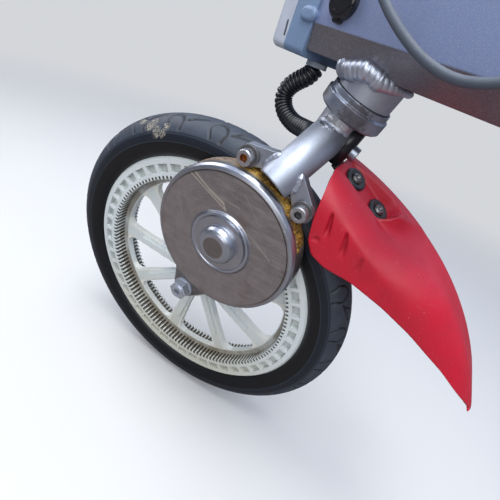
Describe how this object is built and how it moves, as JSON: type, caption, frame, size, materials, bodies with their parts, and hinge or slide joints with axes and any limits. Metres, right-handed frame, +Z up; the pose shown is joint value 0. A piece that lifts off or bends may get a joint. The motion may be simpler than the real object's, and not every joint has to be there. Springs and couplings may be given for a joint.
{
  "type": "electric bicycle front end",
  "caption": "Front end of a small-wheeled electric bicycle: beam nose, steering head, one-sided fork leg, geared drum motor, moulded wheel and mudguard.",
  "frame": {"origin": "centre of the frame beam's cut rear face, where the rest of the frame goes on", "axes": "+X forward along the beam, +Y to the rider's left, +Z up; the fork is turned to the left of straight ahead"},
  "size_m": [0.4903, 0.2536, 0.6618],
  "materials": {
    "beam_paint": "metallic grey paint",
    "nose_plastic": "blue-grey plastic",
    "trim_plastic": "pale grey plastic",
    "raw_aluminium": "satin",
    "cup_steel": "dull steel",
    "bolt_steel": "zinc plated",
    "steerer_steel": "bare steel",
    "black_steel": "black paint",
    "drum_metal": "dull scratched face, rust at the rim",
    "plate_steel": "grey plate",
    "motor_mass": "closed inside",
    "nylon": "cream moulded nylon",
    "tyre": "black rubber",
    "gear_steel": "greased steel",
    "guard_red": "satin red plastic",
    "black_rubber": "black rubber",
    "conduit_plastic": "black corrugated plastic",
    "cable_grey": "grey cable sheath"
  },
  "bodies": {
    "frame_head": {"frame_beam": "beam_paint", "nose_cap": "nose_plastic", "nose_trim": "trim_plastic", "head_tube": "raw_aluminium", "lower_cup": "cup_steel", "upper_cup": "cup_steel", "port_cap": "black_rubber", "control_cable": "cable_grey", "cable_clip": "black_rubber", "cable_grommet": "black_rubber", "conduit": "conduit_plastic", "conduit_gland": "bolt_steel"},
    "fork": {"steerer": "steerer_steel", "top_nut": "cup_steel", "fork_leg": "raw_aluminium", "lug_1": "raw_aluminium", "lug_2": "raw_aluminium", "lug_washer_1": "bolt_steel", "lug_washer_2": "bolt_steel", "lug_bolt_1": "bolt_steel", "lug_bolt_2": "bolt_steel", "motor_plate": "plate_steel", "motor_cover": "drum_metal", "motor_core": "motor_mass", "axle_shaft": "bolt_steel", "axle_bolt": "bolt_steel", "axle_nut": "bolt_steel", "guard_bracket": "black_steel", "bracket_bolt": "bolt_steel", "mudguard": "guard_red", "guard_washer_1": "black_rubber", "guard_washer_2": "black_rubber", "guard_bolt_1": "black_steel", "guard_bolt_2": "black_steel"},
    "wheel": {"moulded_wheel": "nylon", "tyre": "tyre"},
    "pinion_gear": {"pinion": "gear_steel"}
  },
  "joints": [
    {"name": "steering", "type": "hinge", "parent": "frame_head", "child": "fork", "pos_m": [0.12545, 0, -0.0857], "axis": [-0.2857, 0, 0.9583], "range_deg": [-95, 44], "deforming": ["conduit"]},
    {"name": "wheel_spin", "type": "hinge", "parent": "fork", "child": "wheel", "pos_m": [0.22729, 0.01236, -0.33781], "axis": [-0.4171, 0.9003, -0.1243], "continuous": true},
    {"name": "pinion_spin", "type": "hinge", "parent": "fork", "child": "pinion_gear", "pos_m": [0.2507, 0.05395, -0.22779], "axis": [-0.4171, 0.9003, -0.1243], "continuous": true}
  ],
  "couplings": [
    {"joint": "pinion_spin", "follows": "wheel_spin", "ratio": 9}
  ]
}
